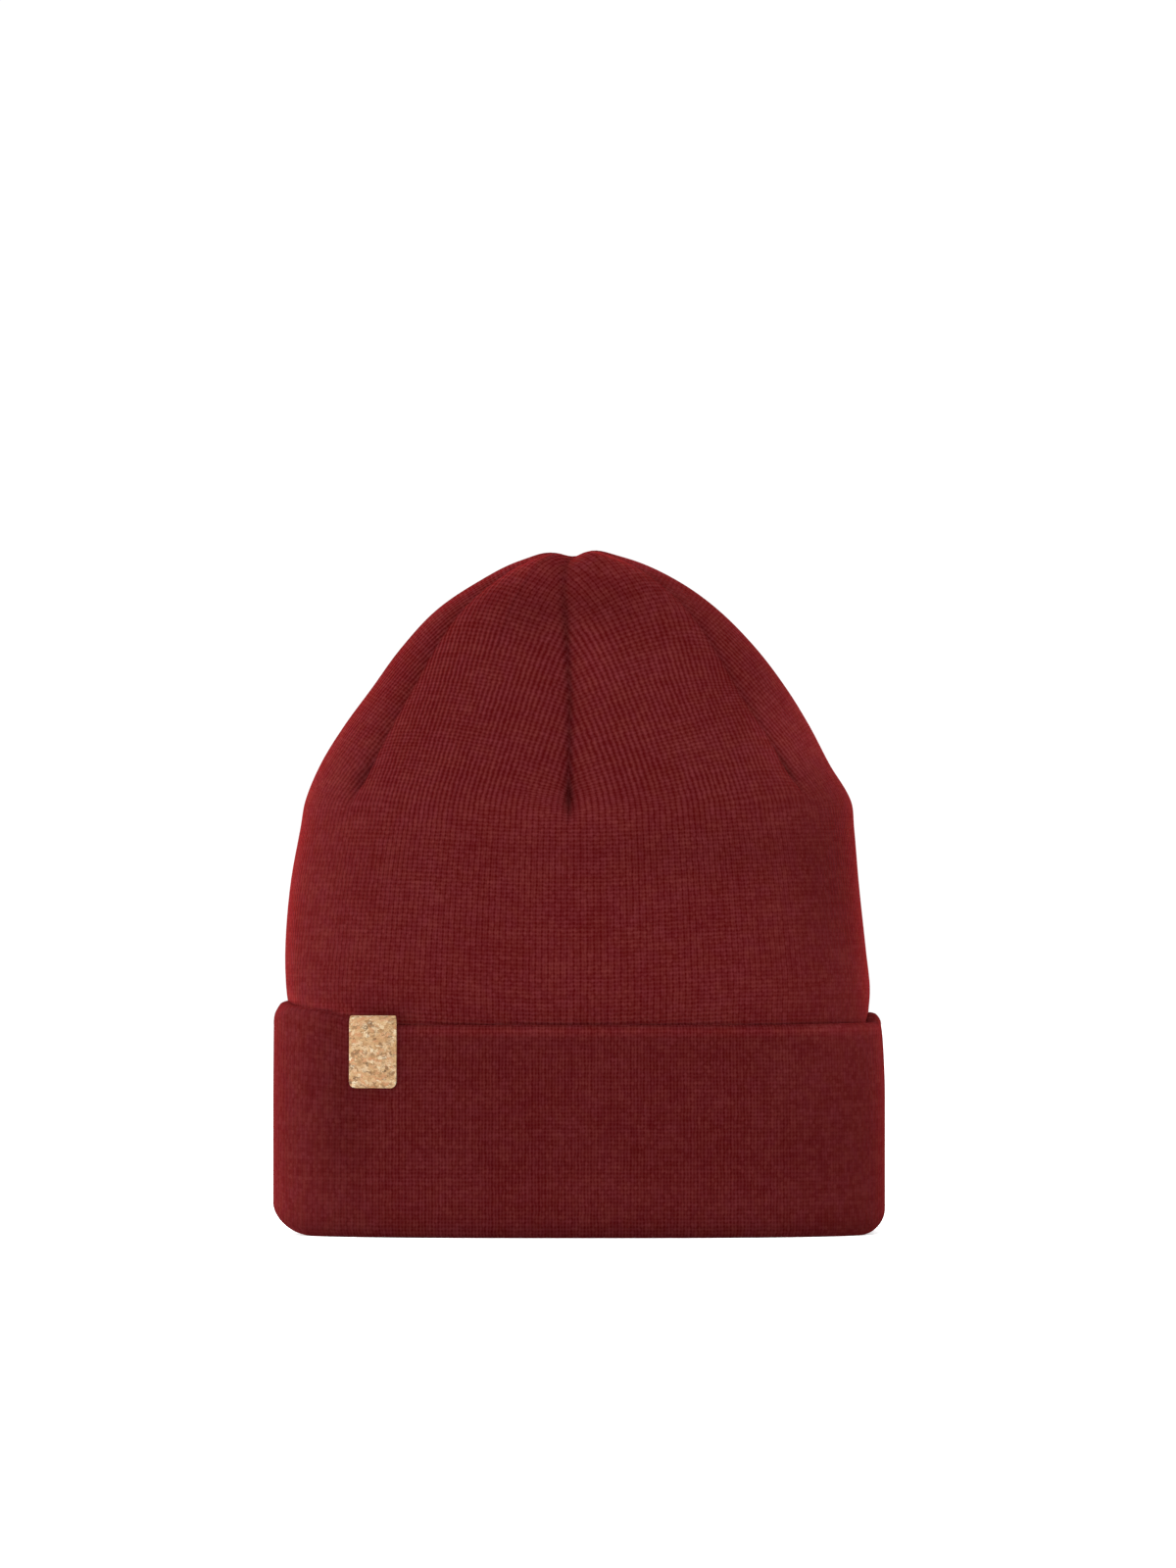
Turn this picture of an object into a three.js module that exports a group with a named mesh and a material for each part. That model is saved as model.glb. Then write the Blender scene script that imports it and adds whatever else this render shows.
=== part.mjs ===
// A knitted beanie: a crown closed by six darts, the turned-up cuff that it stands on, and a cork tab.
// Millimetres, +Z up. The front faces -Y, and the origin is the middle of the footprint on the ground.
import * as THREE from "three";

// Driving dimensions
const KNIT_WALL = 3.8; // two layers of knit
const PIECE_GAP = 0.3; // between pieces that touch
const CUFF_SLOT = 1.7; // between the turned-up cuff and the crown behind it
const CUFF_HEIGHT = 68; // at the front and the back
const CUFF_RISE = { left: 5, right: 0.6 }; // how much higher the cuff's edge is at the hat's sides
const FOLD_RADIUS = 3; // round edges of the fold that the hat stands on
const FOLD_LIFT = { left: 6.5, right: 4.8 }; // how far the fold leaves the ground at the hat's sides
const LIFT_START = { left: 0.9, right: 0.945 }; // share of the half width where the fold starts to lift
const LEG_HEIGHT = 28; // inner leg of the cuff, up to the crown's rim
const RISE_START = 0.6; // share of the half width where the cuff's edge starts to rise
const DART_COUNT = 6;
const DART_TURN = -0.006; // the front dart's place, as a share of the way round from the middle
const CREASE_REACH = 3.5; // how far a dart's sharp crease spreads to each side
const HOLLOW_REACH = 14; // how far the soft hollow beside a dart spreads
const LABEL_TURN = -0.128; // the label's place round the cuff, left of the front
const LABEL_WIDTH = 16;
const LABEL_THICKNESS = 0.8;
const LABEL_FRONT = 21; // front leaf, down from the cuff's edge
const LABEL_BACK = 12; // back leaf, behind the cuff
const LABEL_CORNER = 2.6;

// The crown's outer form over its gores: height, half widths to each side, half depth, and the section's
// exponent, where 2 is an ellipse and more is squarer.
const SECTION_COLUMNS = ["z", "left", "right", "depth", "squareness"];
const CROWN_SECTIONS = [
  { z: LEG_HEIGHT + PIECE_GAP, left: 92.5, right: 92.3, depth: 53.5, squareness: 2.8 },
  { z: CUFF_HEIGHT, left: 92.5, right: 92.3, depth: 53.5, squareness: 2.8 },
  { z: 78, left: 93.8, right: 93, depth: 54.4, squareness: 2.7 },
  { z: 90, left: 94.2, right: 91.8, depth: 55, squareness: 2.55 },
  { z: 112, left: 92.5, right: 89.5, depth: 55, squareness: 2.35 },
  { z: 130, left: 89.3, right: 88, depth: 53.6, squareness: 2.2 },
  { z: 138, left: 87.9, right: 87.1, depth: 51.6, squareness: 2.15 },
  { z: 150, left: 83.3, right: 80.4, depth: 46.4, squareness: 2.1 },
  { z: 162, left: 76.2, right: 74.3, depth: 39.6, squareness: 2.1 },
  { z: 174.5, left: 67.4, right: 66.8, depth: 32.6, squareness: 2.1 },
  { z: 187, left: 58.2, right: 57.4, depth: 26, squareness: 2.1 },
  { z: 199.5, left: 46.8, right: 45.6, depth: 20.4, squareness: 2.1 },
  { z: 208.8, left: 34.6, right: 33.6, depth: 15.8, squareness: 2 },
  { z: 215.8, left: 21.6, right: 20, depth: 10.8, squareness: 2 },
  { z: 219.8, left: 0, right: 0, depth: 0, squareness: 2 },
];
const SHOULDER_ROW = 6; // where the darts start

// Depth of a dart along the crown, from its tip upward.
const DART_COLUMNS = ["crease", "hollow"];
const DART_DEPTHS = [
  { up: -7, crease: 0, hollow: 0 },
  { up: 3, crease: 3, hollow: 0.5 },
  { up: 20, crease: 2.2, hollow: 1.2 },
  { up: 80, crease: 2.1, hollow: 1.4 },
  { up: 128, crease: 1.9, hollow: 0.6 },
];

// Mesh steps
const GORE_COLUMNS = [0, 0.04, 0.11, 0.21, 0.35, 0.5, 0.65, 0.79, 0.89, 0.96]; // share of a gore
const CUFF_COLUMNS = 60;
const OUTER_STEP = 7;
const INNER_STEP = 10;
const APEX_CLEAR = 4; // the last ring's distance from the apex
const ROUND_STEPS = 4;
const LABEL_COLUMNS = [-1, -0.95, -0.85, -0.675, -0.3, 0, 0.3, 0.675, 0.85, 0.95, 1];
const OUTLINE_SAMPLES = 180;
const SLOPE_STEP = 0.5; // along the crown, for its normals
const SLOPE_TURN = 0.002; // round the crown, for its normals

// A smooth curve through the named columns of a table.
function tableCurve(rows, places, names) {
  const values = rows.flatMap((row) => names.map((name) => row[name]));
  const spline = new THREE.CubicInterpolant(places, values, names.length);
  return (place) => {
    const result = spline.evaluate(place);
    return Object.fromEntries(names.map((name, index) => [name, result[index]]));
  };
}

// Distance of each section from the crown's rim, along its side.
function sectionStations(rows) {
  const stations = [0];
  for (let index = 1; index < rows.length; index += 1) {
    const climb = rows[index].z - rows[index - 1].z;
    const reach = rows[index].left - rows[index - 1].left;
    stations.push(stations[index - 1] + Math.hypot(climb, reach));
  }
  return stations;
}

// The section past the apex mirrors the one before it, so that the top closes level.
function mirrored(row) {
  return { ...row, left: -row.left, right: -row.right, depth: -row.depth };
}

const apexRow = CROWN_SECTIONS.length - 1;
const mirroredSections = [...CROWN_SECTIONS, mirrored(CROWN_SECTIONS[apexRow - 1])];
const stations = sectionStations(mirroredSections);
const sectionAt = tableCurve(mirroredSections, stations, SECTION_COLUMNS);
const dartDepthAt = tableCurve(DART_DEPTHS, DART_DEPTHS.map((row) => row.up), DART_COLUMNS);
const coveredStation = stations[1];
const shoulderStation = stations[SHOULDER_ROW];
const apexStation = stations[apexRow];

// A section's outline, read by the share of the way round from the front towards +X.
function outlineOf(section) {
  const pointAtAngle = (angle) => {
    const halfWidth = Math.sin(angle) < 0 ? section.left : section.right;
    const across = (Math.abs(Math.sin(angle)) / halfWidth) ** section.squareness;
    const along = (Math.abs(Math.cos(angle)) / section.depth) ** section.squareness;
    const radius = (across + along) ** (-1 / section.squareness);
    return new THREE.Vector3(radius * Math.sin(angle), -radius * Math.cos(angle), section.z);
  };
  const sampleAngle = (2 * Math.PI) / OUTLINE_SAMPLES;
  const lengths = [0];
  for (let index = 1; index <= OUTLINE_SAMPLES; index += 1) {
    const step = pointAtAngle(index * sampleAngle).distanceTo(pointAtAngle((index - 1) * sampleAngle));
    lengths.push(lengths[index - 1] + step);
  }
  const length = lengths[OUTLINE_SAMPLES];
  const pointAt = (turn) => {
    const target = THREE.MathUtils.euclideanModulo(turn, 1) * length;
    const next = Math.max(1, lengths.findIndex((value) => value >= target));
    const share = (target - lengths[next - 1]) / (lengths[next] - lengths[next - 1]);
    return pointAtAngle((next - 1 + share) * sampleAngle);
  };
  const tangentAt = (turn) => pointAt(turn + SLOPE_TURN).sub(pointAt(turn - SLOPE_TURN));
  return { length, pointAt, tangentAt };
}

function addQuad(index, first, second, third, fourth) {
  index.push(first, second, third, first, third, fourth);
}

// A band of faces between two rings of equal size, given by their first points.
function addBand(index, low, high, size) {
  for (let place = 0; place < size; place += 1) {
    const next = (place + 1) % size;
    addQuad(index, low + place, low + next, high + next, high + place);
  }
}

// A surface through rings of equal size, open at both ends.
function loft(rings) {
  const size = rings[0].length;
  const index = [];
  for (let ring = 0; ring + 1 < rings.length; ring += 1) {
    addBand(index, ring * size, (ring + 1) * size, size);
  }
  return { points: rings.flat(), index };
}

function toMesh(name, { points, index }, material) {
  const geometry = new THREE.BufferGeometry().setFromPoints(points);
  geometry.setIndex(index);
  geometry.computeVertexNormals();
  const mesh = new THREE.Mesh(geometry, material);
  mesh.name = name;
  return mesh;
}

// Columns round the crown, closer together at the darts.
const crownColumns = [];
for (let gore = 0; gore < DART_COUNT; gore += 1) {
  for (const share of GORE_COLUMNS) {
    const turn = (gore + share) / DART_COUNT + DART_TURN;
    crownColumns.push({ turn, fromDart: Math.min(share, 1 - share) });
  }
}

function dartInset(station, distance) {
  const depth = dartDepthAt(station - shoulderStation);
  const crease = depth.crease * Math.exp(-distance / CREASE_REACH);
  const hollow = depth.hollow * Math.exp(-distance / HOLLOW_REACH);
  return crease + hollow;
}

function crownRing(station, wall) {
  const outline = outlineOf(sectionAt(station));
  const lower = outlineOf(sectionAt(Math.max(0, station - SLOPE_STEP)));
  const upper = outlineOf(sectionAt(station + SLOPE_STEP));
  const goreWidth = outline.length / DART_COUNT;
  return crownColumns.map(({ turn, fromDart }) => {
    const upward = upper.pointAt(turn).sub(lower.pointAt(turn));
    const normal = outline.tangentAt(turn).cross(upward).normalize();
    const inset = dartInset(station, fromDart * goreWidth) + wall;
    return outline.pointAt(turn).addScaledVector(normal, -inset);
  });
}

// Ring places from the rim to near the apex, with none on the straight stretch behind the cuff.
function ringStations(step) {
  const span = apexStation - APEX_CLEAR - coveredStation;
  const count = Math.round(span / step);
  const upper = Array.from({ length: count + 1 }, (_, ring) => coveredStation + (span * ring) / count);
  return [0, ...upper];
}

function crownGeometry() {
  const inner = ringStations(INNER_STEP).map((station) => crownRing(station, KNIT_WALL));
  const outer = ringStations(OUTER_STEP).map((station) => crownRing(station, 0));
  const apexZ = CROWN_SECTIONS[apexRow].z - dartInset(apexStation, 0);
  const surface = loft([...inner.reverse(), ...outer]);
  const insidePole = surface.points.push(new THREE.Vector3(0, 0, apexZ - KNIT_WALL)) - 1;
  const outsidePole = surface.points.push(new THREE.Vector3(0, 0, apexZ)) - 1;
  const size = crownColumns.length;
  const lastRing = insidePole - size;
  for (let column = 0; column < size; column += 1) {
    const next = (column + 1) % size;
    surface.index.push(insidePole, next, column);
    surface.index.push(outsidePole, lastRing + column, lastRing + next);
  }
  return surface;
}

// The cuff follows the crown's covered outline at a distance, lifted and raised towards the hat's sides.
const coveredSection = sectionAt(0);
const coveredOutline = outlineOf(coveredSection);
const UPWARD = new THREE.Vector3(0, 0, 1);

function cuffPoint(turn, offset, z) {
  const point = coveredOutline.pointAt(turn);
  const outward = coveredOutline.tangentAt(turn).cross(UPWARD).normalize();
  const side = point.x < 0 ? "left" : "right";
  const share = Math.abs(point.x) / coveredSection[side];
  const rise = CUFF_RISE[side] * THREE.MathUtils.smoothstep(share, RISE_START, 1);
  const intoLift = Math.max(0, (share - LIFT_START[side]) / (1 - LIFT_START[side]));
  const lift = FOLD_LIFT[side] * intoLift ** 2;
  point.addScaledVector(outward, offset);
  point.z = z + lift * Math.max(0, 1 - z / LEG_HEIGHT);
  point.z += rise * THREE.MathUtils.smoothstep(z, LEG_HEIGHT, CUFF_HEIGHT);
  return point;
}

// Points of an arc in the plane of offset and height, its angles in quarter turns from the outside.
function arc(offset, z, radius, from, to, steps) {
  return Array.from({ length: steps + 1 }, (_, step) => {
    const angle = ((from + ((to - from) * step) / steps) * Math.PI) / 2;
    return { offset: offset + radius * Math.cos(angle), z: z + radius * Math.sin(angle) };
  });
}

const hemRadius = KNIT_WALL / 2;
const hemOffset = CUFF_SLOT + hemRadius;
const hemZ = CUFF_HEIGHT - hemRadius;

// The cuff's section, from its inner leg's top down round the fold, up to the hem and into the slot.
function cuffSection() {
  const slotRadius = CUFF_SLOT / 2;
  const outerCorner = CUFF_SLOT + KNIT_WALL - FOLD_RADIUS;
  return [
    { offset: -KNIT_WALL, z: LEG_HEIGHT },
    ...arc(FOLD_RADIUS - KNIT_WALL, FOLD_RADIUS, FOLD_RADIUS, -2, -1, ROUND_STEPS),
    ...arc(outerCorner, FOLD_RADIUS, FOLD_RADIUS, -1, 0, ROUND_STEPS),
    { offset: CUFF_SLOT + KNIT_WALL, z: LEG_HEIGHT },
    { offset: CUFF_SLOT + KNIT_WALL, z: (LEG_HEIGHT + CUFF_HEIGHT) / 2 },
    ...arc(hemOffset, hemZ, hemRadius, 0, 2, ROUND_STEPS),
    { offset: CUFF_SLOT, z: (LEG_HEIGHT + CUFF_HEIGHT) / 2 },
    { offset: CUFF_SLOT, z: LEG_HEIGHT },
    ...arc(slotRadius, KNIT_WALL + slotRadius, slotRadius, 0, -2, 2),
    { offset: 0, z: LEG_HEIGHT },
  ];
}

// The rings of the cuff and the label run towards -X at the front, which turns their faces out.
function cuffGeometry() {
  const section = cuffSection();
  const rings = Array.from({ length: CUFF_COLUMNS }, (_, column) =>
    section.map(({ offset, z }) => cuffPoint(-column / CUFF_COLUMNS, offset, z)),
  );
  const surface = loft(rings);
  addBand(surface.index, (CUFF_COLUMNS - 1) * section.length, 0, section.length);
  return surface;
}

// One side of the label's strip at a distance from the cuff, from the front leaf's end over the hem.
function labelPath(distance, frontEnd) {
  const radius = hemRadius + distance;
  return [
    { offset: hemOffset + radius, z: frontEnd },
    { offset: hemOffset + radius, z: (frontEnd + hemZ) / 2 },
    ...arc(hemOffset, hemZ, radius, 0, 2, ROUND_STEPS),
    { offset: hemOffset - radius, z: hemZ - LABEL_BACK },
  ];
}

function labelGeometry() {
  const halfWidth = LABEL_WIDTH / 2;
  const rings = LABEL_COLUMNS.map((share) => {
    const turn = LABEL_TURN - (share * halfWidth) / coveredOutline.length;
    const intoCorner = Math.max(0, Math.abs(share) * halfWidth - (halfWidth - LABEL_CORNER));
    const cornerRise = LABEL_CORNER - Math.sqrt(LABEL_CORNER ** 2 - intoCorner ** 2);
    const frontEnd = CUFF_HEIGHT - LABEL_FRONT + cornerRise;
    const outer = labelPath(PIECE_GAP + LABEL_THICKNESS, frontEnd);
    const inner = labelPath(PIECE_GAP, frontEnd);
    return [...outer, ...inner.reverse()].map(({ offset, z }) => cuffPoint(turn, offset, z));
  });
  const surface = loft(rings);
  const size = rings[0].length;
  const last = (rings.length - 1) * size;
  for (let place = 0; place + 1 < size / 2; place += 1) {
    const across = size - 1 - place;
    addQuad(surface.index, place, across, across - 1, place + 1);
    addQuad(surface.index, last + place, last + place + 1, last + across - 1, last + across);
  }
  return surface;
}

const knit = new THREE.MeshStandardMaterial({ color: 0x7c2225, roughness: 0.95, metalness: 0 });
const cork = new THREE.MeshStandardMaterial({ color: 0xcda477, roughness: 0.8, metalness: 0 });

const beanie = new THREE.Group();
beanie.add(toMesh("crown", crownGeometry(), knit));
beanie.add(toMesh("cuff", cuffGeometry(), knit.clone()));
beanie.add(toMesh("label", labelGeometry(), cork));

export default beanie;
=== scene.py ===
"""Looks of a knitted beanie: the crown with its darts, the turned-up cuff and the cork tab.

Lengths are millimetres until a mesh is made. The front faces -Y and the hat stands on z = 0.
"""

import math

import bpy
import numpy as np
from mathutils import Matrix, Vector


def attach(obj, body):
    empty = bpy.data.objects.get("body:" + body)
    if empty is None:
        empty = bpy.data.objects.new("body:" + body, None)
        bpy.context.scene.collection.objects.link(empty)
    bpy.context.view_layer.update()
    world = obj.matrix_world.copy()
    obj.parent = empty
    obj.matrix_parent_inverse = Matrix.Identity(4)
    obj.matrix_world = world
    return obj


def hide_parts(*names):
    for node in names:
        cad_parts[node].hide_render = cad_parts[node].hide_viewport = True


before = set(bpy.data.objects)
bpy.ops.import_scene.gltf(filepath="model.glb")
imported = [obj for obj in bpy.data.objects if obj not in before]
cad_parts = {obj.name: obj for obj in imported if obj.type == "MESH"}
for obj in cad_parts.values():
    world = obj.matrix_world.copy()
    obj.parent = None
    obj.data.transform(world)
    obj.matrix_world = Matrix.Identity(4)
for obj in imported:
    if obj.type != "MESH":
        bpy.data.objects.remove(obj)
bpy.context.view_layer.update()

MM = 0.001
BODY = "root"

# The form, close to the solids, with the soft edges that knit has.
KNIT_WALL = 3.8
PIECE_GAP = 0.3
CUFF_SLOT = 1.7
CUFF_HEIGHT = 68
CUFF_RISE = {"left": 5.0, "right": -0.6}
RISE_START = 0.6
HEM_DROP = 1.0
SIDE_RISE = {"left": 2.2, "right": 3.9}
SIDE_START = {"left": 0.95, "right": 0.985}
FOLD_RADIUS = 3.0
FOLD_LIFT = {"left": 9.0, "right": 6.4}
LIFT_START = {"left": 0.89, "right": 0.94}
LEG_HEIGHT = 28
DART_COUNT = 6
DART_TURN = -0.006
CREASE_REACH = 3.5
HOLLOW_REACH = 14.0
LABEL_TURN = -0.1294
LABEL_WIDTH = 16.0
LABEL_THICKNESS = 0.8
LABEL_FRONT = 21.95
LABEL_BACK = 12.0
LABEL_CORNER = 2.1

# The crown's sections: height, half width left and right, half depth, squareness.
CROWN_SECTIONS = [
    (LEG_HEIGHT + PIECE_GAP, 92.5, 92.3, 53.5, 2.8),
    (CUFF_HEIGHT, 92.5, 92.3, 53.5, 2.8),
    (78, 93.8, 93, 54.4, 2.7),
    (90, 94.2, 91.8, 55, 2.55),
    (112, 92.5, 89.5, 55, 2.35),
    (130, 89.3, 88, 53.6, 2.2),
    (138, 87.9, 87.1, 51.6, 2.15),
    (150, 83, 80.2, 46.4, 2.1),
    (162, 75.7, 74, 39.6, 2.1),
    (174.5, 66.6, 66.4, 32.6, 2.1),
    (187, 57.6, 57, 26, 2.1),
    (199.5, 46.1, 44.8, 20.4, 2.1),
    (208.8, 32.6, 32.1, 15.8, 2),
    (215.5, 19.5, 18.1, 10.8, 2),
    (219.4, 0, 0, 0, 2),
]
Z, LEFT, RIGHT, DEPTH, SQUARENESS = range(5)
COVERED_ROW = 1
SHOULDER_ROW = 6
COVERED_SECTION = CROWN_SECTIONS[COVERED_ROW]

# A dart's depth along the crown, from its tip upward: place, sharp crease, soft hollow.
DART_DEPTHS = [
    (-6, 0, 0),
    (1, 3.4, 0.5),
    (6, 3.9, 0.9),
    (15, 2.6, 1.3),
    (30, 2.2, 1.4),
    (80, 2.2, 1.4),
    (106, 1.5, 1),
    (128, 0.9, 0.5),
]

# The darts from the front one towards +X: how far each tip is moved up, how deep the dart is,
# how strong the painted shade along its line and at its tip is, and how far that painted shade reaches
# towards +turn and back.
DART_TIPS = [-3, 7.2, 5, 0, 3, 4]
DART_STRENGTHS = [1, 0.4, 0.7, 1, 0.7, 0.42]
DART_LINE_PAINTED_SHADE = [1, 0.52, 0.8, 1, 0.8, 0.6]
DART_END_PAINTED_SHADE = [1, 1, 0.6, 1, 0.6, 0.8]
DART_REACHES = [(1, 1.5), (2.2, 1.3), (2, 2), (1.5, 1.5), (2, 2), (1.3, 5.6)]
LINE_FADE = (58, 92)
LINE_AT_TOP = 0.45
END_PLACE = 4.5
END_LENGTH = 6.2
END_REACHES = [1.5, 1.8, 1.5, 1.5, 1.5, 3.4]
TIP_FADE = (12, 60)
LINE_START = (-2, 6)
DART_MEETING = (106, 124)

# Sideways drift of the darts by the station from the shoulder: the front one and the two beside it.
DART_DRIFTS = [
    (0, -0.6, 4.5, -1.2),
    (14, -0.7, 3.5, -1.3),
    (40, -1.1, 0.8, 0),
    (54, -1.9, 1.2, 1.2),
    (72, -3.1, 2, 2.6),
    (88, -4.2, 2.2, 3.2),
    (106, -4, 1.6, 2.4),
    (128, 0, 0, 0),
]

# Bumps of the gathered top: place across, reach and height.
TOP_BUMPS = [
    (-11.5, 4.5, 0.6),
    (5.5, 5.0, 0.85),
    (-2.2, 3.4, -1.3),
]
TOP_DEPTH = 9.0
TOP_BUMP_START = (196, 212)
# Painted shade at the apex, where the darts meet.
APEX_PAINTED_SHADE = 0.5

# Patches of painted shade and painted light on the front: place across and up, reach across and up, shade.
CROWN_PAINTED_PATCHES = [
    (-15, 198, 12, 8, 0.42),
    (6, 200, 11, 6, 0.38),
    (-18.6, 213.5, 7, 4, -0.7),
    (15, 213.5, 8, 4, -0.6),
    (4, 183, 7, 11, -0.25),
    (40, 122, 42, 9, 0.3),
    (82, 112, 15, 26, 0.58),
    (73, 155, 4, 5, -0.5),
    (-5, 134, 28, 7, -0.26),
    (28, 170, 22, 24, -0.15),
    (-66, 115, 20, 10, 0.06),
    (65, 160, 9.5, 13, -0.85),
    (92, 77, 4, 9, -0.45),
    (-84, 71, 7, 4, -0.3),
]
# Patches of painted shade and painted light on the cuff, with the same columns.
CUFF_PAINTED_PATCHES = [
    (-75, 43, 8.5, 34, 0.62),
    (-84, 71, 7, 4, -0.35),
    (-90, 62, 6, 10, -0.3),
    (86, 66, 11, 5, -0.6),
    (99, 42, 4, 30, -0.38),
    (-93, 12, 6, 12, -0.35),
    (-98, 38, 6, 40, -0.35),
    (82, 55, 12, 14, -0.25),
    (95, 9, 6, 18, 0.3),
    (0, 14, 110, 7, -0.2),
    (75, 36, 18, 24, 0.1),
]

# The patches fade out behind the hat's side line, over these depths.
BACK_FADE = (0, 26)

# Painted light on the crown where it meets the hem, against the shade in the crease, most on the left:
# how much, over how far, and where.
CREASE_PAINTED_LIGHT = 2.3
CREASE_FADE = 1.6
LEFT_CREASE = (40, 66)
LEFT_CREASE_PAINTED_LIGHT = 1.5

# The knit: columns of stitches are wales and rows of them are courses.
CROWN_WALES = 276
CUFF_WALES = 240
WALE_CROWDING = 0.15
CROWDED_GORES = [1, 0, -1, 1, 0, -1]
CROWN_COURSE = 1.32
CUFF_COURSE = 1.29
WALE_COLUMNS = 4
WALE_RELIEF = 0.07
RELIEF_START = (-1, 4)
COURSE_DIP = 2.8
COURSE_DIP_REACH = 45.0
DART_EASE = (-10, 4)

# Ribs show more on the gores: where they start and end, by the station from the shoulder.
RIB_START = (-16, 12)
RIB_END = (60, 82)
RIB_AT_TOP = 0.1

# The knit is stretched near the top: where, by the same stations, and how much across and up.
STRETCH_START = (40, 100)
WALE_STRETCH = 0.18
COURSE_STRETCH = 0.2

# Samples of the form, the depth of fine rings behind the hem, and the room left at the apex and the darts.
STATION_SAMPLES = 420
TURN_SAMPLES = 1440
ANGLE_SAMPLES = 1440
GORE_SAMPLES = 81
HIDDEN_DEPTH = 8.0
APEX_CLEAR = 0.8
CLOSE_COLUMN = 0.12

# Rings up the crown: how far a stretch reaches from the shoulder, and its steps outside and inside.
RING_STRETCHES = [
    (-58, 2, 6),
    (-9, 4, 8),
    (14, 1, 4),
    (999, 1.8, 6),
]

MAP_KNIT = "knit"
MAP_SHEET = "OFBake"


def smoothstep(value, low, high):
    share = np.clip((value - low) / (high - low), 0, 1)
    return share * share * (3 - 2 * share)


def bell(distance, reach):
    return np.exp(-((distance / reach) ** 2))


def running_sum(steps):
    """Sums of the steps up to each place along the last axis, from zero."""
    sums = np.cumsum(steps, axis=-1)
    return np.concatenate([np.zeros_like(sums[..., :1]), sums], axis=-1)


def integral(values, places):
    return running_sum((values[..., 1:] + values[..., :-1]) / 2 * np.diff(places))


def path_lengths(points):
    return running_sum(np.linalg.norm(np.diff(points, axis=0), axis=-1))


def read_table(table, row, column):
    """Values between a table's points, at places that count its rows and columns."""
    low_row = np.minimum(row.astype(int), table.shape[0] - 2)
    low_column = np.minimum(column.astype(int), table.shape[1] - 2)
    shape = row.shape + (1,) * (table.ndim - 2)
    up = (row - low_row).reshape(shape)
    over = (column - low_column).reshape(shape)
    lower = table[low_row, low_column] * (1 - over) + table[low_row, low_column + 1] * over
    upper = table[low_row + 1, low_column] * (1 - over) + table[low_row + 1, low_column + 1] * over
    return lower * (1 - up) + upper * up


def table_curve(places, rows):
    """Smooth curves through a table's columns, held level past its ends."""
    places = np.asarray(places, float)
    rows = np.asarray(rows, float)
    slopes = np.diff(rows, axis=0) / np.diff(places)[:, None]
    tangents = np.vstack([slopes[:1], (slopes[1:] + slopes[:-1]) / 2, slopes[-1:]])

    def value_at(place):
        place = np.clip(np.asarray(place, float), places[0], places[-1])
        index = np.clip(np.searchsorted(places, place, side="right") - 1, 0, len(places) - 2)
        span = (places[index + 1] - places[index])[..., None]
        share = (place - places[index])[..., None] / span
        squared = share * share
        cubed = squared * share
        return (
            (2 * cubed - 3 * squared + 1) * rows[index]
            + (cubed - 2 * squared + share) * span * tangents[index]
            + (3 * squared - 2 * cubed) * rows[index + 1]
            + (cubed - squared) * span * tangents[index + 1]
        )

    return value_at


def unit(vectors):
    lengths = np.linalg.norm(vectors, axis=-1, keepdims=True)
    return vectors / np.maximum(lengths, 1e-9)


def section_stations(rows):
    """Distance of each section from the crown's rim, along its left side."""
    steps = np.diff(np.asarray(rows, float), axis=0)
    return running_sum(np.hypot(steps[:, Z], steps[:, LEFT]))


def outline_points(section, angles):
    """Points of one section, by angle from the front towards +X."""
    half = np.where(np.sin(angles) < 0, section[LEFT], section[RIGHT])
    power = section[SQUARENESS]
    across = (np.abs(np.sin(angles)) / np.maximum(half, 1e-6)) ** power
    along = (np.abs(np.cos(angles)) / np.maximum(section[DEPTH], 1e-6)) ** power
    radius = (across + along) ** (-1 / power)
    height = np.full_like(radius, section[Z])
    return np.stack([radius * np.sin(angles), -radius * np.cos(angles), height], axis=-1)


def even_outline(section, turns):
    """Points of one section at equal shares of its length, and that length."""
    angles = np.linspace(0, 2 * math.pi, ANGLE_SAMPLES + 1)
    lengths = path_lengths(outline_points(section, angles))
    at = np.interp(turns * lengths[-1], lengths, angles)
    return outline_points(section, at), lengths[-1]


class Skin:
    """The crown's form without darts, read by the station along it and the turn round it."""

    def __init__(self):
        last = CROWN_SECTIONS[-2]
        past_apex = (last[Z], -last[LEFT], -last[RIGHT], -last[DEPTH], last[SQUARENESS])
        rows = CROWN_SECTIONS + [past_apex]
        places = section_stations(rows)
        self.covered = places[COVERED_ROW]
        self.shoulder = places[SHOULDER_ROW]
        self.apex = places[len(CROWN_SECTIONS) - 1]
        self.stations = np.linspace(0, self.apex, STATION_SAMPLES)
        self.turns = np.linspace(0, 1, TURN_SAMPLES + 1)
        section_at = table_curve(places, rows)
        outlines = [even_outline(section, self.turns) for section in section_at(self.stations)]
        self.points = np.array([points for points, _ in outlines])
        self.girth = np.array([length for _, length in outlines])
        self.normals = self.grid_normals()

    def grid_normals(self):
        upward = np.gradient(self.points, axis=0)
        around = np.roll(self.points[:, :-1], -1, axis=1) - np.roll(self.points[:, :-1], 1, axis=1)
        around = np.concatenate([around, around[:, :1]], axis=1)
        normals = unit(np.cross(around, upward))
        normals[-1] = (0, 0, 1)
        return normals

    def read(self, table, station, turn):
        return read_table(table, self.row(station), (turn % 1) * TURN_SAMPLES)

    def row(self, station):
        """The row of a table over the stations."""
        return np.clip(station / self.apex, 0, 1) * (STATION_SAMPLES - 1)

    def girth_at(self, station):
        return np.interp(station, self.stations, self.girth)


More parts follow.
